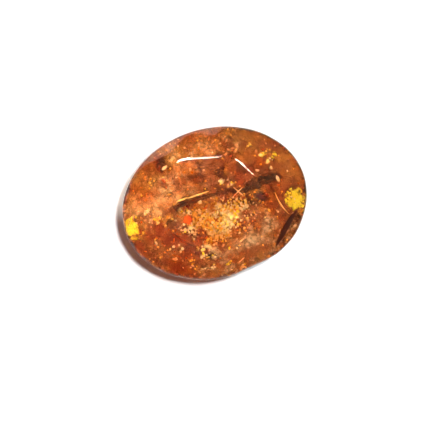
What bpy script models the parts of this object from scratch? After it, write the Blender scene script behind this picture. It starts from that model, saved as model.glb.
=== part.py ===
"""An oval, softly faceted sunstone, lying on its flat culet with its table up.

Metres, +Z up. The origin is on the surface the stone rests on, under the middle of
its girdle. +X runs along the oval's long axis and +Y along its short axis.

The facets are laid out on a round stone of radius 1 whose girdle is at the middle,
as a cutter indexes them on the wheel, and the finished round is then stretched into
the oval.
"""
import math

import bmesh
import bpy
from mathutils import Matrix, Vector

# The oval.
LENGTH = 0.0100
WIDTH = 0.0080

# The heights, from the table down to the culet.
CROWN_HEIGHT = 0.00100
GIRDLE_HEIGHT = 0.00030
PAVILION_DEPTH = 0.00190

# The facet plan, as shares of the round's radius.
MAINS = 8
STAR_TIP = 0.81
LOWER_TIP = 0.60
CULET = 0.43

# The table's corners along and across the oval, as shares of the radius. The table is
# uneven and sits off the middle, where the cutter left it.
TABLE_CORNERS = (
    (0.55, 0.00),
    (0.31, 0.50),
    (-0.24, 0.66),
    (-0.58, 0.38),
    (-0.70, -0.03),
    (-0.50, -0.47),
    (-0.05, -0.63),
    (0.38, -0.45),
)

# The stone is cut by hand: its facets sit a little turned on the oval, and the
# outline has one soft corner and one flat beside it.
FACET_TURN = math.radians(2.0)
CORNER_AT = math.radians(-51.0)
CORNER_OUT = 0.018
CORNER_SPREAD = math.radians(15.0)
FLAT_AT = math.radians(-80.0)
FLAT_IN = 0.034
FLAT_SPREAD = math.radians(14.0)

# The girdle is round to the eye at this many sides. As shares of the radius, a corner
# within MEET of a cut is on it, and corners within SLIVER of each other are one.
GIRDLE_SIDES = 96
MEET = 0.00004
SLIVER = 0.0016

STONE_COLOUR = (0.74, 0.33, 0.10, 1.0)
STONE_ROUGHNESS = 0.05
FELDSPAR_INDEX = 1.54

# The heights on the round.
HALF_WIDTH = WIDTH / 2
GIRDLE_TOP = GIRDLE_HEIGHT / 2 / HALF_WIDTH
TABLE_TOP = GIRDLE_TOP + CROWN_HEIGHT / HALF_WIDTH
CULET_BOTTOM = -GIRDLE_TOP - PAVILION_DEPTH / HALF_WIDTH
STEP = 2 * math.pi / MAINS


def clear_scene():
    """Remove whatever the file opened with."""
    for thing in list(bpy.data.objects):
        bpy.data.objects.remove(thing, do_unlink=True)


def around(angle, radius, height):
    """A point on the round at an angle from the long axis."""
    return Vector((radius * math.cos(angle), radius * math.sin(angle), height))


def tangent(angle):
    """The direction along the girdle at an angle."""
    return Vector((-math.sin(angle), math.cos(angle), 0.0))


def facet_normal(a, b, c):
    """The outward normal of the plane through three points, the stone's middle at zero."""
    normal = (b - a).cross(c - a).normalized()
    return normal if normal.dot(a) > 0 else -normal


def grind(stone, a, b, c):
    """Grind off what lies outside the plane through three points, and face the cut."""
    everything = stone.verts[:] + stone.edges[:] + stone.faces[:]
    cut = bmesh.ops.bisect_plane(
        stone,
        geom=everything,
        dist=MEET,
        plane_co=a,
        plane_no=facet_normal(a, b, c),
        clear_outer=True,
    )
    rim = [item for item in cut["geom_cut"] if isinstance(item, bmesh.types.BMEdge)]
    open_rim = [edge for edge in rim if edge.is_boundary]
    if len(open_rim) > 2:
        bmesh.ops.edgeloop_fill(stone, edges=open_rim)


def meeting_point(*planes):
    """The point that three planes share, each plane given by three of its points."""
    normals = [facet_normal(*plane) for plane in planes]
    reaches = [normal.dot(plane[0]) for normal, plane in zip(normals, planes)]
    return Matrix(normals).inverted() @ Vector(reaches)


def preform():
    """The blank: a low drum with the outline of the girdle."""
    stone = bmesh.new()
    bmesh.ops.create_cone(
        stone,
        cap_ends=True,
        segments=GIRDLE_SIDES,
        radius1=1.0,
        radius2=1.0,
        depth=4 * max(TABLE_TOP, -CULET_BOTTOM),
    )
    for corner in stone.verts:
        angle = math.atan2(corner.co.y, corner.co.x)
        swell = CORNER_OUT * math.exp(-(((angle - CORNER_AT) / CORNER_SPREAD) ** 2))
        flat = FLAT_IN * math.exp(-(((angle - FLAT_AT) / FLAT_SPREAD) ** 2))
        corner.co.xy *= 1 + swell - flat
    return stone


def cut_side(stone, sign, corners, tip_radius, with_stars):
    """Cut one side of the girdle: the mains, the stars if it has them, and the halves.

    sign is 1 above the girdle and -1 below. The mains run from the corners of the
    table or culet to the girdle, and neighbouring mains meet at the tips.
    """
    girdle = sign * GIRDLE_TOP
    mains = []
    for k in range(MAINS):
        angle = FACET_TURN + k * STEP
        foot = around(angle, 1.0, girdle)
        mains.append((foot, corners[k], foot + tangent(angle)))
        grind(stone, *mains[k])
    for k in range(MAINS):
        angle = FACET_TURN + k * STEP
        middle = angle + STEP / 2
        post = around(middle, tip_radius, 0.0)
        upright = (post, post + tangent(middle), post + Vector((0.0, 0.0, 1.0)))
        after = (k + 1) % MAINS
        tip = meeting_point(mains[k], mains[after], upright)
        if with_stars:
            grind(stone, corners[k], corners[after], tip)
        for end in (angle, angle + STEP):
            grind(stone, tip, around(middle, 1.0, girdle), around(end, 1.0, girdle))


def cut_stone():
    """The whole stone, cut on the round."""
    stone = preform()
    for height in (TABLE_TOP, CULET_BOTTOM):
        centre = Vector((0.0, 0.0, height))
        grind(stone, centre, centre + Vector((1.0, 0.0, 0.0)), centre + Vector((0.0, 1.0, 0.0)))
    table = [Vector((along, across, TABLE_TOP)) for along, across in TABLE_CORNERS]
    culet = [around(FACET_TURN + k * STEP, CULET, CULET_BOTTOM) for k in range(MAINS)]
    cut_side(stone, 1, table, STAR_TIP, with_stars=True)
    cut_side(stone, -1, culet, LOWER_TIP, with_stars=False)
    bmesh.ops.remove_doubles(stone, verts=stone.verts[:], dist=SLIVER)
    return stone


def stretch_to_oval(stone):
    """Stretch the round to the oval's length and width, and stand it on its culet."""
    lows = [min(corner.co[axis] for corner in stone.verts) for axis in range(3)]
    highs = [max(corner.co[axis] for corner in stone.verts) for axis in range(3)]
    to_middle = Matrix.Translation(
        (-(lows[0] + highs[0]) / 2, -(lows[1] + highs[1]) / 2, -lows[2])
    )
    stretch = Matrix.Diagonal(
        (LENGTH / (highs[0] - lows[0]), WIDTH / (highs[1] - lows[1]), HALF_WIDTH, 1.0)
    )
    bmesh.ops.transform(stone, matrix=stretch @ to_middle, verts=stone.verts[:])
    bmesh.ops.recalc_face_normals(stone, faces=stone.faces[:])


def sunstone_material():
    """Clear orange feldspar, polished."""
    material = bpy.data.materials.new("sunstone")
    material.use_nodes = True
    surface = material.node_tree.nodes["Principled BSDF"]
    surface.inputs["Base Color"].default_value = STONE_COLOUR
    surface.inputs["Roughness"].default_value = STONE_ROUGHNESS
    surface.inputs["Metallic"].default_value = 0.0
    surface.inputs["IOR"].default_value = FELDSPAR_INDEX
    surface.inputs["Transmission Weight"].default_value = 1.0
    return material


def make_sunstone():
    """The one piece: the cut stone, its girdle shaded round and its facets flat."""
    stone = cut_stone()
    stretch_to_oval(stone)
    mesh = bpy.data.meshes.new("sunstone")
    stone.to_mesh(mesh)
    stone.free()
    mesh.shade_smooth()
    mesh.set_sharp_from_angle(angle=math.radians(6.0))
    mesh.materials.append(sunstone_material())
    sunstone = bpy.data.objects.new("sunstone", mesh)
    bpy.context.scene.collection.objects.link(sunstone)
    return sunstone


clear_scene()
make_sunstone()
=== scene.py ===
import math
from typing import NamedTuple

import bmesh
import bpy
import numpy as np
from mathutils import Matrix, Vector


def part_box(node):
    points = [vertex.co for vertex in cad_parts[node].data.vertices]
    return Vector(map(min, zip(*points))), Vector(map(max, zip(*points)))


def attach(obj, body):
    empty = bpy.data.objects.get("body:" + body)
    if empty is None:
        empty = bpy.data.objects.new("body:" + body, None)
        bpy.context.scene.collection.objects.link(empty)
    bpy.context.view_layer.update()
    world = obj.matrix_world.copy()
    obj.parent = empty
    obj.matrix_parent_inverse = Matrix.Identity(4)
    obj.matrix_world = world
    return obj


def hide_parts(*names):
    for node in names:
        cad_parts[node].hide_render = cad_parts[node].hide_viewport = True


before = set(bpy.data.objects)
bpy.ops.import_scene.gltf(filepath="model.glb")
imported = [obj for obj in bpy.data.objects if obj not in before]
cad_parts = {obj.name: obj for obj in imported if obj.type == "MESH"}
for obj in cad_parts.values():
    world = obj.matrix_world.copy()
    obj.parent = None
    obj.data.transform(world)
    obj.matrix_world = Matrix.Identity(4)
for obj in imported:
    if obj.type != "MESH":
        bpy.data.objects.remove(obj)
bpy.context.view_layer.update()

# The stone. One crystal of clear orange feldspar, ground to an oval with a broad table,
# a low crown and a pavilion cut off flat, then polished. Feldspar is soft for a gem, so
# handling has rounded the edges where its facets meet.
MM = 0.001
low_corner, high_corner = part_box("sunstone")
heart = (low_corner + high_corner) / 2
half_size = (high_corner - low_corner) / 2
SAME_FACET = math.cos(math.radians(1.2))
SIDE_WALL = 0.02
EDGE_SHARPNESS = 90.0
BALL_HEIGHT = 1.6


def facets_of(solid):
    """The outward normals of a solid's facets, and how far each lies from the heart."""
    normals, reaches = [], []
    for face in sorted(solid.data.polygons, key=lambda face: -face.area):
        if all(face.normal.dot(normal) < SAME_FACET for normal in normals):
            normals.append(face.normal.copy())
            reaches.append((face.center - heart).dot(face.normal))
    return np.array(normals), np.array(reaches)


def outline_of(solid):
    """The girdle's outline: the angle of each corner about the heart, and its reach."""
    walls = [face for face in solid.data.polygons if abs(face.normal.z) < SIDE_WALL]
    corners = sorted({corner for wall in walls for corner in wall.vertices})
    places = np.array([solid.data.vertices[corner].co - heart for corner in corners])
    angles = np.arctan2(places[:, 1], places[:, 0])
    order = angles.argsort()
    return angles[order], np.hypot(places[:, 0], places[:, 1])[order]


facet_normals, facet_reaches = facets_of(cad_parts["sunstone"])
outline_angles, outline_reaches = outline_of(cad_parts["sunstone"])
is_ground = np.abs(facet_normals[:, 2]) > SIDE_WALL


def wear_to_facets(points):
    """Move points along their lines from the heart onto the stone's worn surface."""
    ways = points / np.linalg.norm(points, axis=1)[:, None]
    angles = np.arctan2(ways[:, 1], ways[:, 0])
    outline = np.interp(angles, outline_angles, outline_reaches, period=2 * math.pi)
    girdle = np.hypot(ways[:, 0], ways[:, 1]) / outline
    nearness = np.clip(ways @ facet_normals[is_ground].T / facet_reaches[is_ground], 0, None)
    nearness = np.column_stack([nearness, girdle])
    nearest = nearness.max(axis=1, keepdims=True)
    blunting = ((nearness / nearest) ** EDGE_SHARPNESS).sum(axis=1) ** (1 / EDGE_SHARPNESS)
    return ways / (nearest[:, 0] * blunting)[:, None]


def stone_mesh():
    """A ball of fine triangles, drawn in to the facets."""
    stone = bmesh.new()
    bmesh.ops.create_icosphere(stone, subdivisions=7, radius=1.0)
    spread = np.array([half_size.x, half_size.y, BALL_HEIGHT * half_size.z])
    worn = wear_to_facets(np.array([corner.co for corner in stone.verts]) * spread)
    worn[:, 2] -= worn[:, 2].min()
    worn[:, :2] += np.array(heart.xy)
    for corner, place in zip(stone.verts, worn):
        corner.co = place
    mesh = bpy.data.meshes.new("stone")
    stone.to_mesh(mesh)
    stone.free()
    mesh.shade_smooth()
    return mesh


class Socket:
    """An output of a material's node. Arithmetic on it adds Math nodes."""

    def __init__(self, finish, output):
        self.finish = finish
        self.output = output

    def maths(self, operation, other):
        return self.finish.add("ShaderNodeMath", {"operation": operation}, {0: self, 1: other})

    def __add__(self, other):
        return self.maths("ADD", other)

    def __sub__(self, other):
        return self.maths("SUBTRACT", other)

    def __mul__(self, other):
        return self.maths("MULTIPLY", other)

    def __pow__(self, other):
        return self.maths("POWER", other)


class Finish:
    """A piece's material: a Principled surface, and one way of adding a node to it."""

    def __init__(self, name, **surface):
        self.material = bpy.data.materials.new(name)
        self.material.use_nodes = True
        self.tree = self.material.node_tree
        self.surface = self.tree.nodes["Principled BSDF"]
        self.output = self.tree.nodes["Material Output"]
        for socket, value in surface.items():
            self.surface.inputs[socket.replace("_", " ")].default_value = value

    def add(self, kind, settings=None, sockets=None, output=0):
        """Add a node: its settings first, then the values or links of its sockets."""
        node = self.tree.nodes.new(kind)
        for name, value in (settings or {}).items():
            if name == "stops":
                ramp = node.color_ramp.elements
                while len(ramp) < len(value):
                    ramp.new(0.5)
                for stop, (place, colour) in zip(ramp, value):
                    stop.position = place
                    stop.color = colour
            else:
                setattr(node, name, value)
        for name, value in (sockets or {}).items():
            if isinstance(value, Socket):
                self.tree.links.new(value.output, node.inputs[name])
            else:
                node.inputs[name].default_value = value
        return Socket(self, node.outputs[output])

    def place(self):
        """Where a point lies on the piece."""
        return self.add("ShaderNodeTexCoord", output=3)

    def noise(self, place, rate, detail, roughness=0.5):
        """Random patches, so many to the metre."""
        sockets = {"Vector": place, "Scale": rate, "Detail": detail, "Roughness": roughness}
        return self.add("ShaderNodeTexNoise", sockets=sockets)

    def blend(self, factor, first, second):
        """A colour that goes from the first to the second."""
        return self.add("ShaderNodeMix", {"data_type": "RGBA"}, {0: factor, 6: first, 7: second}, 2)

    def shade(self, colour, by):
        """A colour darkened by another."""
        settings = {"data_type": "RGBA", "blend_type": "MULTIPLY"}
        return self.add("ShaderNodeMix", settings, {0: 1.0, 6: colour, 7: by}, 2)

    def feed(self, socket, source, node=None):
        """Link a source to a socket of the surface, or of another node."""
        target = (node or self.surface).inputs[socket]
        self.tree.links.new(source.output, target)


FELDSPAR_INDEX = 1.54
STONE_CLEARNESS = 0.985
STONE_TINT = (1.0, 0.72, 0.36, 1.0)
STONE_TINT_DEEP = (0.72, 0.22, 0.05, 1.0)
TINT_PATCH = 1.6 * MM
TINT_CONTRAST = 3.2
TINT_CUT = 1.1
WEAR_RATE = 900.0
WEAR_START = 0.52
WEAR_FULL = 0.75
POLISHED = 0.02
RUBBED = 0.08
SCUFF_DEPTH = 0.02 * MM
SCUFF_STRENGTH = 0.04
BODY_COLOUR = (0.965, 0.70, 0.16, 1.0)
BODY_DEPTH = 340.0


def stone_finish():
    """Polished feldspar, faintly zoned in colour, with handling wear in its polish."""
    finish = Finish("stone", IOR=FELDSPAR_INDEX, Transmission_Weight=STONE_CLEARNESS)
    place = finish.place()
    patches = finish.noise(place, 1 / TINT_PATCH, 5.0, 0.62)
    wear = finish.noise(place, WEAR_RATE, 6.0, 0.6)
    tint = finish.blend(patches * TINT_CONTRAST - TINT_CUT, STONE_TINT, STONE_TINT_DEEP)
    finish.feed("Base Color", tint)
    rubbed = {
        "Value": wear,
        "From Min": WEAR_START,
        "From Max": WEAR_FULL,
        "To Min": POLISHED,
        "To Max": RUBBED,
    }
    finish.feed("Roughness", finish.add("ShaderNodeMapRange", sockets=rubbed))
    scuffs = {"Strength": SCUFF_STRENGTH, "Distance": SCUFF_DEPTH, "Height": wear}
    finish.feed("Normal", finish.add("ShaderNodeBump", sockets=scuffs))
    body = {"Color": BODY_COLOUR, "Density": BODY_DEPTH}
    finish.feed("Volume", finish.add("ShaderNodeVolumeAbsorption", sockets=body), finish.output)
    return finish.material


def make_piece(name, mesh, material):
    """Put a mesh in the scene as a piece that rides with the stone."""
    mesh.materials.append(material)
    piece = bpy.data.objects.new(name, mesh)
    bpy.context.scene.collection.objects.link(piece)
    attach(piece, "root")
    return piece


stone = make_piece("stone", stone_mesh(), stone_finish())
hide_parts("sunstone")

# The platelets. Thin scales of copper and iron oxide that grew in the crystal, nearly all
# of them along one plane, which is what makes a sunstone glitter. Each population is one
# mesh of flat plates, scattered inside the stone.
PLATE_NORMAL = Vector((0.063, -0.041, 1.0)).normalized()
SKIN = 0.09 * MM

# One run of random numbers, so that the stone comes out the same each time.
chance = np.random.default_rng(7)


class Zone:
    """An oval part of the stone in plan, above a floor, all in millimetres."""

    FALL = 1.5
    EDGE = 1.1

    def __init__(self, along, across, half_length, half_width, turn=0.0, floor=0.0):
        self.middle = np.array([along, across]) * MM
        self.reach = np.array([half_length, half_width]) * MM
        self.turn = math.radians(turn)
        self.floor = floor * MM

    def share(self, points):
        """1 in the middle of the zone, a third at its edge, fading to 0 outside."""
        offset = points[:, :2] - self.middle
        cos, sin = math.cos(self.turn), math.sin(self.turn)
        along = (offset[:, 0] * cos + offset[:, 1] * sin) / self.reach[0]
        across = (-offset[:, 0] * sin + offset[:, 1] * cos) / self.reach[1]
        above = points[:, 2] > self.floor
        return np.exp(-((along**2 + across**2) ** self.FALL) * self.EDGE) * above


# The parts of the crystal that differ: its golden middle, crowded with pale platelets as painted
# light for the light the stone focuses there, the clouded parts, the spots where light gets
# through both ends, and the places of the big cracks and scales.
golden_light_zone = Zone(-0.55, -1.22, 2.35, 1.15, turn=5.0)
red_zone = Zone(-2.8, -1.9, 1.7, 1.1, turn=-35.0, floor=1.2)
taupe_zone = Zone(1.2, -2.9, 2.2, 0.8, turn=12.0)
tan_zone = Zone(-3.7, 1.0, 1.3, 1.3, turn=30.0)
left_light = Zone(-4.50, -0.05, 0.28, 0.50, turn=-8.0, floor=1.3)
right_light = Zone(4.07, -1.1, 0.40, 0.46, turn=-12.0, floor=1.3)
crack_zones = [
    Zone(3.36, -2.35, 1.1, 0.22, turn=43.0, floor=1.9),
    Zone(-2.05, 2.66, 0.5, 0.26, turn=73.0, floor=2.2),
    Zone(2.85, 0.20, 1.0, 0.26, turn=4.0, floor=2.5),
    Zone(-1.15, 0.26, 1.3, 0.12, turn=3.0, floor=2.5),
    Zone(0.95, 0.24, 1.0, 0.15, turn=-8.0, floor=2.5),
    Zone(-1.66, -0.59, 0.30, 0.28, floor=2.5),
    Zone(-2.20, -1.60, 0.9, 0.12, turn=-49.0, floor=2.5),
]

CRACK_CLEARING = 0.6
END_CLEARING = 0.9
CLOUD_CLEARING = 0.85
GOLD_CLEARING = 2.5


def beside_cracks(points):
    """Nothing lies over the big cracks and scales, which grew right under the surface."""
    return 1 - sum(zone.share(points) for zone in crack_zones).clip(0, 1) ** CRACK_CLEARING


def at_ends(points):
    """1 in the spots at both ends where light gets through the stone."""
    return np.maximum(left_light.share(points), right_light.share(points))


def clear_ends(points):
    """Platelets are rare at both ends."""
    return 1 - END_CLEARING * at_ends(points)


def in_lively_parts(points):
    """Single platelets are rare where the crystal is smoothly clouded."""
    clouded = red_zone.share(points) + taupe_zone.share(points) + tan_zone.share(points)
    return 1 - CLOUD_CLEARING * clouded.clip(0, 1)


def outside_gold(points):
    """The golden middle and both ends stay free of brown, so that their painted light shows."""
    return clear_ends(points) * (1 - golden_light_zone.share(points)).clip(0, 1) ** GOLD_CLEARING


WAVES = 14
SHORTEST_WAVE = 0.7
LONGEST_WAVE = 1.6


def clumps(points, size):
    """A smooth random field about size millimetres from crest to crest, roughly -1 to 1."""
    ways = chance.normal(size=(WAVES, 3))
    ways /= np.linalg.norm(ways, axis=1)[:, None]
    rates = 2 * math.pi / (size * MM * chance.uniform(SHORTEST_WAVE, LONGEST_WAVE, WAVES))
    starts = chance.uniform(0, 2 * math.pi, WAVES)
    return np.cos(points @ (ways * rates[:, None]).T + starts).sum(axis=1) / math.sqrt(WAVES)


def in_clumps(points, size=1.1, usual=0.45, swing=0.5, least=0.04):
    """More platelets in some places than in others."""
    return np.clip(usual + swing * clumps(points, size), least, 1)


def room_around(points):
    """How far each point lies inside the stone's nearest facet."""
    return (facet_reaches - (points - np.array(heart)) @ facet_normals.T).min(axis=1)


TRIES = 4


def scatter(count, likely):
    """Random places inside the stone. likely gives each place's chance, 0 to 1."""
    kept = np.empty((0, 3))
    while len(kept) < count:
        tries = chance.uniform(np.array(low_corner), np.array(high_corner), size=(TRIES * count, 3))
        tries = tries[room_around(tries) > SKIN]
        tries = tries[chance.random(len(tries)) < likely(tries) * beside_cracks(tries)]
        kept = np.concatenate([kept, tries])
    return kept[:count]


def lean(count, spread):
    """Plate normals spread about the plane that the platelets share."""
    tilts = chance.normal(0.0, math.radians(spread), size=(count, 2))
    normals = np.array(PLATE_NORMAL) + np.column_stack([tilts, np.zeros(count)])
    return normals / np.linalg.norm(normals, axis=1)[:, None]


FINER_CLOUDS = 0.8
FINER_SIZE = 0.4


def tints_by_place(places, palette, size, speckle):
    """A tint for each place, dark to light over clouds of that size, with some at random."""
    count = len(places)
    tone = clumps(places, size) + FINER_CLOUDS * clumps(places, FINER_SIZE * size)
    tone = tone + speckle * chance.normal(size=count)
    rank = tone.argsort().argsort() / count
    shares = np.array([share for share, tint in palette], dtype=float)
    picks = np.searchsorted(shares.cumsum() / shares.sum(), rank).clip(0, len(palette) - 1)
    return np.array([tint for share, tint in palette])[picks]


def pattern_of(shape):
    """The corners and the triangles of a shape that is used up here."""
    corners = np.array([corner.co for corner in shape.verts])
    triangles = np.array([[corner.index for corner in face.verts] for face in shape.faces])
    shape.free()
    return corners, triangles


def plate_pattern(sides):
    """A flat plate of radius 1 and thickness 1."""
    plate = bmesh.new()
    bmesh.ops.create_cone(plate, cap_ends=True, segments=sides, radius1=1.0, radius2=1.0, depth=1.0)
    bmesh.ops.triangulate(plate, faces=plate.faces[:])
    return pattern_of(plate)


DEEPEST_CHIP = 0.55
FURTHEST_CORNER = 1.2
NARROWEST = 0.5


def chipped(count, corners):
    """How far out each corner of each plate is. A plate's upper and lower corners alternate."""
    sides = len(corners) // 2
    reaches = chance.uniform(DEEPEST_CHIP, FURTHEST_CORNER, (count, sides))
    return reaches[:, np.arange(len(corners)) // 2 % sides]


def write_tints(mesh, rows):
    """Write a tint and a fade for each corner of a mesh."""
    tint = mesh.attributes.new("tint", "FLOAT_COLOR", "POINT")
    tint.data.foreach_set("color", rows.astype(np.float32).ravel())


def platelet_mesh(name, places, radii, normals, tints, pattern, ragged, thinness):
    """One mesh of plates or wisps, each turned at random about its own normal."""
    corners, triangles = pattern
    count = len(places)
    angle = chance.uniform(0, 2 * math.pi, count)
    wide = chance.uniform(NARROWEST, 1.0, count)
    aside = np.cross(normals, np.array([0.0, 1.0, 0.0]))
    aside /= np.linalg.norm(aside, axis=1)[:, None]
    ahead = np.cross(normals, aside)
    first = aside * np.cos(angle)[:, None] + ahead * np.sin(angle)[:, None]
    second = np.cross(normals, first)
    broken = ragged(count, corners)[:, :, None]
    shape = (
        broken * corners[None, :, 0, None] * first[:, None, :]
        + broken * corners[None, :, 1, None] * (second * wide[:, None])[:, None, :]
        + corners[None, :, 2, None] * (normals * thinness)[:, None, :]
    )
    points = places[:, None, :] + shape * radii[:, None, None]
    faces = triangles[None] + (np.arange(count) * len(corners))[:, None, None]
    mesh = bpy.data.meshes.new(name)
    mesh.vertices.add(count * len(corners))
    mesh.vertices.foreach_set("co", points.astype(np.float32).ravel())
    mesh.loops.add(faces.size)
    mesh.loops.foreach_set("vertex_index", faces.astype(np.int32).ravel())
    mesh.polygons.add(faces.size // 3)
    mesh.polygons.foreach_set("loop_start", np.arange(0, faces.size, 3, dtype=np.int32))
    mesh.update(calc_edges=True)
    fade = np.tile(corners[:, 2] ** 2, count)
    write_tints(mesh, np.column_stack([tints.repeat(len(corners), axis=0), fade]))
    return mesh


PLATE_GRAIN = 16000.0
PLATE_CONTRAST = 1.4
PLATE_CUT = 0.5
PLATE_DULLING = 0.25
PLATE_SHEEN = 0.12
PLATE_SHADE = (0.55, 0.5, 0.45, 1.0)


def platelet_finish(name, metallic, roughness):
    """A scale of oxide: each plate's own tint, clouded and dulled in patches."""
    finish = Finish(name, Metallic=metallic, Specular_IOR_Level=PLATE_SHEEN)
    clouds = finish.noise(finish.place(), PLATE_GRAIN, 2.0)
    tint = finish.add("ShaderNodeAttribute", {"attribute_name": "tint"})
    dark = finish.shade(tint, PLATE_SHADE)
    finish.feed("Base Color", finish.blend(clouds * PLATE_CONTRAST - PLATE_CUT, tint, dark))
    finish.feed("Roughness", clouds * PLATE_DULLING + roughness)
    return finish.material


PLATE_THINNESS = 0.07
LARGEST_PLATE = 0.22 * MM
PLATE_ROOM = 0.9
THINNEST_SKIN = 0.3 * SKIN
DARKEST = 0.85
BRIGHTEST = 1.1


def grow(name, count, likely, radius, variety, spread, palette, metallic, roughness, sides=6):
    """Grow one population of platelets. palette lists tints, dark to light, and their shares."""
    places = scatter(count, likely)
    radii = radius * MM * np.exp(chance.normal(0.0, variety, count))
    room = PLATE_ROOM * (room_around(places) - THINNEST_SKIN)
    radii = np.minimum(np.minimum(radii, LARGEST_PLATE), room)
    tints = tints_by_place(places, palette, size=1.1, speckle=0.3)
    tints = np.clip(tints * chance.uniform(DARKEST, BRIGHTEST, (count, 1)), 0, 1)
    normals = lean(count, spread)
    pattern = plate_pattern(sides)
    mesh = platelet_mesh(name, places, radii, normals, tints, pattern, chipped, PLATE_THINNESS)
    make_piece(name, mesh, platelet_finish(name, metallic, roughness))


UMBER = (0.12, 0.04, 0.02)
RUST = (0.42, 0.09, 0.03)
AMBER = (0.52, 0.20, 0.05)
COPPER = (0.66, 0.24, 0.06)
HONEY = (0.70, 0.36, 0.10)
BRIGHT_COPPER = (0.88, 0.44, 0.11)
GOLD = (1.0, 0.76, 0.19)
STRAW = (1.0, 0.90, 0.40)
CREAM = (1.0, 0.94, 0.72)

STRAYS = 0.02
DRIFT_FLOOR = 1.9 * MM
BROWN_ROOF = 1.7 * MM


def in_gold(points):
    """The pale platelets crowd the golden middle, as painted light for the light the stone focuses
    there, with a few strays elsewhere.
    """
    clusters = in_clumps(points, size=0.8, usual=0.65, least=0.1)
    return STRAYS + (1 - STRAYS) * golden_light_zone.share(points) * clusters


def high_in_gold(points):
    """The larger pale ones drift over the golden middle, higher in the stone, adding to its painted
    light.
    """
    drifts = in_clumps(points, size=0.7, swing=0.6, least=0.02)
    return golden_light_zone.share(points) * drifts * (points[:, 2] > DRIFT_FLOOR)


def low_down(points):
    """The brown ones lie low in the stone."""
    return points[:, 2] < BROWN_ROOF


grow(
    "copper_platelets", 1200,
    lambda points: clear_ends(points) * in_clumps(points) * in_lively_parts(points),
    radius=0.042, variety=0.7, spread=9.0,
    palette=[(3, RUST), (5, AMBER), (4, COPPER), (3, HONEY), (2, GOLD)],
    metallic=0.3, roughness=0.25,
)
grow(
    "gold_platelets", 4200, in_gold,
    radius=0.060, variety=0.5, spread=12.0,
    palette=[(1, RUST), (2, BRIGHT_COPPER), (5, GOLD), (6, CREAM)],
    metallic=0.1, roughness=0.3,
)
grow(
    "golden_drift", 1300, high_in_gold,
    radius=0.075, variety=0.45, spread=10.0,
    palette=[(1, COPPER), (2, BRIGHT_COPPER), (4, GOLD), (6, STRAW), (7, CREAM)],
    metallic=0.0, roughness=0.4,
)
grow(
    "brown_clouds", 1500,
    lambda points: in_lively_parts(points) * outside_gold(points) * in_clumps(points) * low_down(points),
    radius=0.15, variety=0.4, spread=14.0,
    palette=[(3, UMBER), (5, RUST), (5, COPPER), (3, BRIGHT_COPPER)],
    metallic=0.1, roughness=0.4,
)
grow(
    "dark_platelets", 500,
    lambda points: clear_ends(points) * in_clumps(points) * in_lively_parts(points),
    radius=0.030, variety=0.6, spread=25.0,
    palette=[(3, UMBER), (3, RUST)],
    metallic=0.0, roughness=0.4,
)
grow(
    "haze_flecks", 1000,
    lambda points: clear_ends(points) * in_clumps(points),
    radius=0.013, variety=0.35, spread=25.0,
    palette=[(2, RUST), (3, COPPER), (3, BRIGHT_COPPER), (2, GOLD)],
    metallic=0.4, roughness=0.3, sides=3,
)

# The clouds. Where platelets are too fine to see singly, they grew in soft wisps that
# colour parts of the crystal. Each cloud is one mesh of thin lenses that fade towards
# their rims, laid along the platelets' plane.
WISP_THINNESS = 0.12
WISP_LEAN = 6.0
WISP_ROOM = 0.62
TWO_LOBES = 0.28
THREE_LOBES = 0.18


def wisp_pattern():
    """A round lens of radius 1."""
    lens = bmesh.new()
    bmesh.ops.create_icosphere(lens, subdivisions=2, radius=1.0)
    return pattern_of(lens)


def billowed(count, corners):
    """How far each wisp's outline swells and shrinks round it, in long waves."""
    angle = np.arctan2(corners[:, 1], corners[:, 0])
    starts = chance.uniform(0, 2 * math.pi, (2, count, 1))
    lobes = TWO_LOBES * np.cos(2 * angle + starts[0])
    return 1 + lobes + THREE_LOBES * np.cos(3 * angle + starts[1])


def reach_around(points, normals):
    """How far a wisp of each lean can spread from each point inside the stone."""
    room = facet_reaches - (points - np.array(heart)) @ facet_normals.T
    facing = normals @ facet_normals.T
    spread = np.sqrt(1 - facing**2 * (1 - WISP_THINNESS**2))
    return (room / spread).min(axis=1)


WISP_GRAIN = 2600.0
WISP_CONTRAST = 3.0
WISP_CUT = 1.0
WISP_SHEEN = 0.1
WISP_SHADE = (0.72, 0.62, 0.52, 1.0)


def wisp_finish(name, density):
    """A cloud of platelets too fine to see singly: thickest in its middle, and patchy."""
    finish = Finish(name, Specular_IOR_Level=WISP_SHEEN, Roughness=0.6)
    tint = finish.add("ShaderNodeAttribute", {"attribute_name": "tint"})
    fade = finish.add("ShaderNodeAttribute", {"attribute_name": "tint"}, output=3)
    patches = finish.noise(finish.place(), WISP_GRAIN, 4.0, 0.6)
    deep = finish.shade(tint, WISP_SHADE)
    finish.feed("Base Color", finish.blend(patches * WISP_CONTRAST - WISP_CUT, tint, deep))
    finish.feed("Alpha", fade * density)
    return finish.material


def billow(name, count, likely, radius, variety, palette, density):
    """Lay one population of wisps. palette lists tints and their shares."""
    places = scatter(count, likely)
    radii = radius * MM * np.exp(chance.normal(0.0, variety, count))
    tints = tints_by_place(places, palette, size=1.8, speckle=0.4)
    normals = lean(count, WISP_LEAN)
    radii = np.minimum(radii, WISP_ROOM * reach_around(places, normals))
    mesh = platelet_mesh(name, places, radii, normals, tints, wisp_pattern(), billowed, WISP_THINNESS)
    make_piece(name, mesh, wisp_finish(name, density))


def depth_under_top(points):
    """How far each point lies straight below the stone's upper surface."""
    upward = facet_normals[:, 2] > SIDE_WALL
    room = facet_reaches[upward] - (points - np.array(heart)) @ facet_normals[upward].T
    return (room / facet_normals[upward, 2]).min(axis=1)


TOP_LAYER = 0.7 * MM
RIM_START = 0.62
RIM_WIDTH = 0.30
RIM_FLOOR = 1.3 * MM
CLOUD_VARIETY = 0.3


def near_top(points):
    """1 for places close under the stone's upper surface."""
    return depth_under_top(points) < TOP_LAYER


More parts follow.
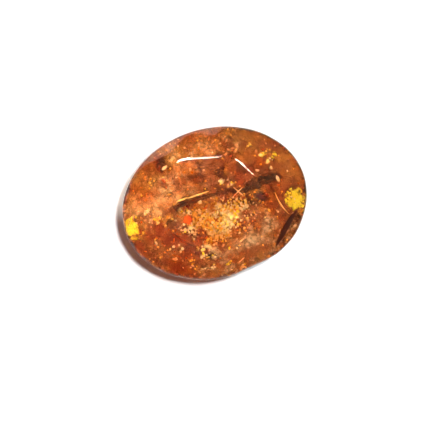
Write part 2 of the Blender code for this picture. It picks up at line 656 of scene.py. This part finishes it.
def near_rim(points):
    """0 under the table, rising to 1 towards the girdle."""
    reach = np.hypot(points[:, 0] / half_size.x, points[:, 1] / half_size.y)
    return np.clip((reach - RIM_START) / RIM_WIDTH, 0, 1) * (points[:, 2] > RIM_FLOOR)


def cloud(name, count, zone, radius, palette, density):
    """Lay the wisps of one zone, close under the surface."""

    def likely(points):
        return zone.share(points) * near_top(points)

    billow(name, count, likely, radius, CLOUD_VARIETY, palette, density)


far_zone = Zone(0.2, 3.1, 2.4, 0.7, turn=-4.0)
plum_zone = Zone(2.3, -1.7, 1.0, 0.8)
ember_zone = Zone(3.1, 1.1, 1.5, 1.0, turn=-30.0)
brown_zone = Zone(0.7, 1.1, 2.0, 0.7, turn=-8.0)
rosy_zone = Zone(-1.3, 1.4, 1.5, 0.8)

BLOOD = (0.26, 0.05, 0.025)
ROSEWOOD = (0.42, 0.16, 0.09)
TAUPE = (0.64, 0.50, 0.44)
APRICOT = (0.90, 0.60, 0.40)

billow(
    "amber_wisps", 900, outside_gold, radius=0.26, variety=0.4,
    palette=[(4, RUST), (2, ROSEWOOD), (4, AMBER), (4, HONEY)], density=0.6,
)
billow(
    "veil_wisps", 900, lambda points: outside_gold(points) * near_top(points), radius=0.30, variety=0.35,
    palette=[(2, UMBER), (4, RUST), (4, ROSEWOOD), (5, AMBER), (3, HONEY)], density=0.5,
)
cloud("rust_wisps", 420, red_zone, 0.34, [(2, BLOOD), (4, RUST), (3, ROSEWOOD), (1, AMBER)], 0.7)
billow(
    "rim_wisps", 2200, lambda points: in_lively_parts(points) * outside_gold(points) * near_rim(points),
    radius=0.20, variety=0.3, palette=[(2, RUST), (4, AMBER), (3, HONEY), (2, COPPER)], density=0.5,
)
cloud("ember_wisps", 240, ember_zone, 0.30, [(2, RUST), (4, COPPER), (1, ROSEWOOD)], 0.5)
cloud("taupe_wisps", 420, taupe_zone, 0.34, [(1, ROSEWOOD), (4, TAUPE)], 0.65)
cloud("honey_wisps", 420, far_zone, 0.28, [(1, AMBER), (3, HONEY), (3, APRICOT)], 0.55)
cloud("brown_wisps", 170, brown_zone, 0.30, [(1, UMBER), (3, RUST), (3, ROSEWOOD)], 0.5)
cloud("tan_wisps", 260, tan_zone, 0.32, [(2, HONEY), (4, APRICOT)], 0.5)
cloud("plum_wisps", 110, plum_zone, 0.32, [(2, ROSEWOOD), (1, TAUPE)], 0.6)
cloud("rosy_wisps", 120, rosy_zone, 0.26, [(1, AMBER), (1, TAUPE), (3, APRICOT)], 0.5)
# Pale wisps in the golden middle: painted light for the light the stone focuses there.
billow(
    "cream_wisps", 140, golden_light_zone.share, radius=0.20, variety=0.4,
    palette=[(3, CREAM), (3, GOLD), (1, HONEY)], density=0.6,
)

# The sparkles and the lit ends. Here and there a platelet throws the light straight back,
# and at both ends light that has crossed the stone comes out yellow. Pale platelets show both
# as painted light: painted highlights for the sparkles right under the surface, and yellow
# platelets painted in for the lit ends.
LEMON = (0.96, 1.0, 0.10)
SPARKLE_DEPTH = 0.2 * MM
GLITTER_DEPTH = 0.25 * MM
sparkle_spots = [
    Zone(along, across, 0.16, 0.10, turn=30.0, floor=1.8)
    for along, across in (
        (0.62, 0.84), (1.03, 0.54), (-3.58, 0.46), (-3.51, -0.07), (-3.12, -0.07),
        (3.35, 1.21), (3.75, 1.45), (3.20, 1.65), (-2.11, -2.82), (-1.44, -2.63),
        (-1.06, -3.30), (-0.20, -3.30), (0.44, -3.70), (0.91, -0.98),
    )
]


def in_sparkle_spots(points):
    """1 in the middle of a sparkling spot, right under the surface."""
    bright = sum(spot.share(points) for spot in sparkle_spots).clip(0, 1)
    return bright * (depth_under_top(points) < SPARKLE_DEPTH)


# Painted highlights: pale platelets right under the surface, in the spots that sparkle.
grow(
    "sparkles", 300, in_sparkle_spots,
    radius=0.050, variety=0.45, spread=7.0,
    palette=[(1, GOLD), (4, LEMON), (6, CREAM)],
    metallic=0.0, roughness=0.3,
)
# More painted highlights: pale platelets in clumps just under the surface.
grow(
    "glitter", 260,
    lambda points: in_clumps(points) * (depth_under_top(points) < GLITTER_DEPTH),
    radius=0.036, variety=0.5, spread=7.0,
    palette=[(3, GOLD), (3, LEMON), (4, CREAM)],
    metallic=0.0, roughness=0.3,
)
# Painted light: yellow platelets where light comes out at both ends.
grow(
    "end_lights", 1500,
    lambda points: at_ends(points) ** 2,
    radius=0.14, variety=0.35, spread=10.0,
    palette=[(1, LEMON)],
    metallic=0.0, roughness=0.4,
)

# The cracks and larger scales. Thin leaf shaped partings and single big plates in the
# crystal, some dark with iron, some with pale tints painted in as painted highlights where
# they would throw the light back. They follow the facets, a little under the surface.
LEAF_THICKNESS = 0.012 * MM
LEAF_FADE = 1.35
LEAF_PINCH = 0.35
LEAF_THINNING = 0.5
BEND_MIDDLE = 0.4
FEATHER = (0.060, 0.020, 0.011)
PLUM = (0.075, 0.018, 0.028)
DAMSON = (0.034, 0.008, 0.016)
SCARLET = (0.62, 0.12, 0.02)
ROSE = (1.0, 0.74, 0.62)
PALE_GOLD = (1.0, 0.97, 0.50)


class Leaf(NamedTuple):
    """A leaf's tint, its place, its depth under the surface and its size, in millimetres."""

    tint: tuple
    along: float
    across: float
    depth: float
    half_length: float
    half_width: float
    heading: float
    bend: float = 0.0
    ragged: float = 0.22


def notches(leaf, x):
    """How ragged a leaf's edge is at x along it: two waves, laid differently on each leaf."""
    return math.sin(9 * x + 40 * leaf.along) + 0.5 * math.sin(23 * x + 17 * leaf.across)


def lay_leaf(sheet, leaf):
    """Add one leaf, a flattened ball with drawn out tips. Give its corners' tints and fades."""
    corners = bmesh.ops.create_uvsphere(sheet, u_segments=20, v_segments=10, radius=1.0)["verts"]
    rows = [(*leaf.tint, min(1.0, LEAF_FADE * corner.co.z**2)) for corner in corners]
    for corner in corners:
        x, y, z = corner.co
        width = (1 + leaf.ragged * notches(leaf, x)) * (1 - LEAF_PINCH * x * x)
        corner.co.y = y * width + leaf.bend * (x * x - BEND_MIDDLE) / leaf.half_width
        corner.co.z = z * (1 - LEAF_THINNING * x * x)
    place = Matrix.Translation((leaf.along * MM, leaf.across * MM, high_corner.z))
    turn = Matrix.Rotation(math.radians(leaf.heading), 4, "Z")
    size = Matrix.Diagonal((leaf.half_length * MM, leaf.half_width * MM, LEAF_THICKNESS, 1.0))
    bmesh.ops.transform(sheet, matrix=place @ turn @ size, verts=corners)
    points = np.array([corner.co for corner in corners])
    surface = points[:, 2] + depth_under_top(points)
    for corner, height in zip(corners, surface - high_corner.z - leaf.depth * MM):
        corner.co.z += height
    return rows


def leaf_piece(name, finish, leaves):
    """One piece of several leaves."""
    sheet = bmesh.new()
    rows = [row for leaf in leaves for row in lay_leaf(sheet, leaf)]
    mesh = bpy.data.meshes.new(name)
    sheet.to_mesh(mesh)
    sheet.free()
    mesh.shade_smooth()
    write_tints(mesh, np.array(rows))
    make_piece(name, mesh, finish)


leaf_piece("dark_cracks", wisp_finish("dark_cracks", 0.97), [
    Leaf(FEATHER, 2.40, 0.16, 0.07, 0.85, 0.30, 8, bend=-0.22),
    Leaf(FEATHER, 3.20, 0.34, 0.08, 0.70, 0.22, -12, bend=-0.10),
    Leaf(UMBER, -1.05, 0.26, 0.07, 1.40, 0.15, 3, bend=-0.12),
    Leaf(PLUM, 0.95, 0.20, 0.075, 1.05, 0.15, -8),
    Leaf(FEATHER, -2.16, 2.64, 0.08, 0.46, 0.24, 80, ragged=0.12),
    Leaf(BLOOD, -2.20, -1.60, 0.08, 0.90, 0.10, -49, bend=0.1),
    Leaf(PLUM, 2.45, -0.55, 0.085, 0.50, 0.26, -30),
])
leaf_piece("corner_scale", platelet_finish("corner_scale", 0.0, 0.4), [
    Leaf(DAMSON, 3.22, -2.44, 0.07, 1.12, 0.15, 43, bend=-0.05, ragged=0.04),
])
# Pale leaves whose tints are painted highlights, standing in for light thrown back.
leaf_piece("painted_highlight_cracks", platelet_finish("painted_highlight_cracks", 0.1, 0.3), [
    Leaf(STRAW, -1.62, 0.52, 0.065, 0.32, 0.04, 4),
    Leaf(STRAW, -0.75, 0.52, 0.065, 0.62, 0.035, 2),
    Leaf(ROSE, 1.30, 0.05, 0.06, 0.38, 0.018, 28),
    Leaf(ROSE, 1.35, 0.05, 0.06, 0.38, 0.018, -58),
    Leaf(STRAW, 3.32, -1.15, 0.07, 0.68, 0.03, -74, bend=0.1),
    Leaf(ROSE, 3.55, 0.14, 0.065, 0.20, 0.08, -83),
    Leaf(ROSE, -2.02, 2.42, 0.065, 0.17, 0.09, 20),
    Leaf(ROSE, 0.45, -3.40, 0.065, 0.20, 0.03, 23),
    Leaf(ROSE, 0.75, -2.45, 0.065, 0.16, 0.03, 23),
    Leaf(PALE_GOLD, 0.62, -1.10, 0.065, 0.15, 0.09, 30),
    Leaf(PALE_GOLD, 0.88, -1.22, 0.060, 0.12, 0.07, -20),
    Leaf(PALE_GOLD, 0.62, 0.80, 0.065, 0.11, 0.05, 55),
    Leaf(PALE_GOLD, 3.05, 1.62, 0.065, 0.12, 0.08, -10),
    Leaf(PALE_GOLD, 3.30, 1.18, 0.065, 0.14, 0.07, 50),
    Leaf(PALE_GOLD, -3.20, -0.30, 0.065, 0.10, 0.06, 20),
    Leaf(ROSE, -2.90, -2.35, 0.065, 0.12, 0.05, -30),
])
leaf_piece("scarlet_platelet", wisp_finish("scarlet_platelet", 0.95), [
    Leaf(SCARLET, -1.66, -0.59, 0.07, 0.32, 0.30, 15),
])

# The floor: a plain pale sheet. The stone throws a rippled spot of its own colour on it
# underneath, and a little reddish light seeps through the stone into its shadow. Both
# are a faint glow of the sheet.
FLOOR_WIDTH = 0.6
FLOOR_DROP = 0.02 * MM
FLOOR_COLOUR = (0.9, 0.89, 0.885, 1.0)
GLOW_COLOUR = (1.0, 0.74, 0.36, 1.0)
GLOW_STRENGTH = 1.8
GLOW_MIDDLE = (-0.45 * MM, -0.95 * MM, 0.0)
GLOW_REACH = (3.1 * MM, 2.1 * MM, 1.0)
GLOW_FALL = 0.8
RIPPLE_RATE = 1500.0
RIPPLE_TROUGH = 0.35
RIPPLE_CREST = 0.65
SEEP_MIDDLE = (-4.2 * MM, 2.4 * MM, 0.0)
SEEP_REACH = (8.5 * MM, 7.5 * MM, 1.0)
SEEP_STOPS = [
    (0.0, (0.0, 0.0, 0.0, 1.0)),
    (0.10, (0.060, 0.013, 0.005, 1.0)),
    (0.60, (0.06, 0.015, 0.008, 1.0)),
    (0.745, (0.054, 0.017, 0.013, 1.0)),
    (0.88, (0.34, 0.28, 0.24, 1.0)),
]


def round_fade(finish, place, middle, reach):
    """1 at a place on the floor, falling to 0 at the edge of an oval round it."""
    sockets = {"Vector": place, "Location": middle, "Scale": reach}
    oval = finish.add("ShaderNodeMapping", {"vector_type": "TEXTURE"}, sockets)
    return finish.add("ShaderNodeTexGradient", {"gradient_type": "SPHERICAL"}, {"Vector": oval}, 1)


def floor_finish():
    """Matt white, with the glow under the stone and the seep in its shadow."""
    finish = Finish("floor", Base_Color=FLOOR_COLOUR, Roughness=0.8, Emission_Strength=GLOW_STRENGTH)
    place = finish.place()
    glow = round_fade(finish, place, GLOW_MIDDLE, GLOW_REACH) ** GLOW_FALL
    ripples = finish.noise(place, RIPPLE_RATE, 2.0)
    swell = {"Value": ripples, "From Min": RIPPLE_TROUGH, "From Max": RIPPLE_CREST}
    ripples = finish.add("ShaderNodeMapRange", sockets=swell)
    seep = round_fade(finish, place, SEEP_MIDDLE, SEEP_REACH)
    seep = finish.add("ShaderNodeValToRGB", {"stops": SEEP_STOPS}, {0: seep})
    finish.feed("Emission Color", finish.blend(glow * ripples, seep, GLOW_COLOUR))
    return finish.material


def make_floor():
    """One square sheet, a hair under the stone."""
    sheet = bmesh.new()
    bmesh.ops.create_grid(sheet, x_segments=1, y_segments=1, size=FLOOR_WIDTH / 2)
    bmesh.ops.translate(sheet, verts=sheet.verts[:], vec=(0.0, 0.0, -FLOOR_DROP))
    mesh = bpy.data.meshes.new("floor")
    sheet.to_mesh(mesh)
    sheet.free()
    mesh.materials.append(floor_finish())
    floor = bpy.data.objects.new("floor", mesh)
    bpy.context.scene.collection.objects.link(floor)


make_floor()

# The camera looks down on the stone, a little from the side that faces the picture's
# lower edge, with the oval's long axis turned on the picture.
VIEW_AZIMUTH = math.radians(-17.0)
VIEW_ELEVATION = math.radians(84.0)
VIEW_DISTANCE = 0.12
VIEW_WIDTH = 23.0 * MM
AIM_RIGHT = 0.03 * MM
AIM_DOWN = 0.62 * MM
AIM_HEIGHT = 1.55 * MM
SENSOR_WIDTH = 36.0


def towards(azimuth, elevation):
    """The unit vector from the stone at an azimuth from +X and a height over the floor."""
    flat = math.cos(elevation)
    return Vector((flat * math.cos(azimuth), flat * math.sin(azimuth), math.sin(elevation)))


def make_camera():
    """A camera that sees VIEW_WIDTH of the floor, aimed a little below the stone's middle."""
    view = bpy.data.cameras.new("camera")
    view.sensor_width = SENSOR_WIDTH
    view.lens = SENSOR_WIDTH * VIEW_DISTANCE / VIEW_WIDTH
    view.clip_start = MM
    camera = bpy.data.objects.new("camera", view)
    bpy.context.scene.collection.objects.link(camera)
    back = towards(VIEW_AZIMUTH - math.pi / 2, VIEW_ELEVATION)
    turn = back.to_track_quat("Z", "Y")
    right = turn @ Vector((1.0, 0.0, 0.0))
    up = turn @ Vector((0.0, 1.0, 0.0))
    aim = Vector((0.0, 0.0, AIM_HEIGHT)) + right * AIM_RIGHT - up * AIM_DOWN
    camera.rotation_euler = turn.to_euler()
    camera.location = aim + back * VIEW_DISTANCE
    bpy.context.scene.camera = camera


make_camera()

# The light. A small lamp high up casts the short shadow, and a wide soft screen on the
# other side lights the platelets through the stone. Three small lamps beyond the stone
# are seen only as highlights in the worn edges of its table.
LAMP_DISTANCE = 0.3


def make_lamp(name, azimuth, elevation, size, power, width=None):
    """An area light that faces the stone. azimuth is counted from the picture's right."""
    glow = bpy.data.lights.new(name, "AREA")
    glow.energy = power
    glow.shape = "RECTANGLE" if width else "DISK"
    glow.size = size
    if width:
        glow.size_y = width
    way = towards(math.radians(azimuth) + VIEW_AZIMUTH, math.radians(elevation))
    lamp = bpy.data.objects.new(name, glow)
    bpy.context.scene.collection.objects.link(lamp)
    lamp.location = way * LAMP_DISTANCE
    lamp.rotation_euler = way.to_track_quat("Z", "Y").to_euler()
    return lamp


def make_glint(name, azimuth, elevation, size, width, power):
    """A lamp that is seen as a highlight and lights nothing."""
    glint = make_lamp(name, azimuth, elevation, size, power, width)
    glint.visible_diffuse = False
    glint.visible_transmission = False


key = make_lamp("key", azimuth=9, elevation=78.5, size=0.036, power=1.15)
key.visible_glossy = False
key.visible_transmission = False
screen = make_lamp("screen", azimuth=205, elevation=62, size=0.50, power=8.0)
screen.visible_glossy = False
screen.visible_diffuse = False
make_glint("corner_glint", azimuth=106, elevation=60, size=0.055, width=0.11, power=0.8)
make_glint("far_glint", azimuth=95, elevation=62, size=0.02, width=0.02, power=0.016)
make_glint("right_glint", azimuth=61, elevation=62, size=0.02, width=0.035, power=0.12)

# The room around is dim and a little warm.
world = bpy.data.worlds.new("studio")
world.use_nodes = True
world.node_tree.nodes["Background"].inputs["Color"].default_value = (1.0, 0.90, 0.82, 1.0)
world.node_tree.nodes["Background"].inputs["Strength"].default_value = 0.05
scene = bpy.context.scene
scene.world = world
scene.view_settings.view_transform = "Standard"
scene.cycles.use_denoising = True

# Light crosses the stone and many fading wisps before it ends on something.
scene.cycles.max_bounces = 24
scene.cycles.transmission_bounces = 20
scene.cycles.glossy_bounces = 12
scene.cycles.diffuse_bounces = 4
scene.cycles.transparent_max_bounces = 96
scene.cycles.sample_clamp_indirect = 8.0
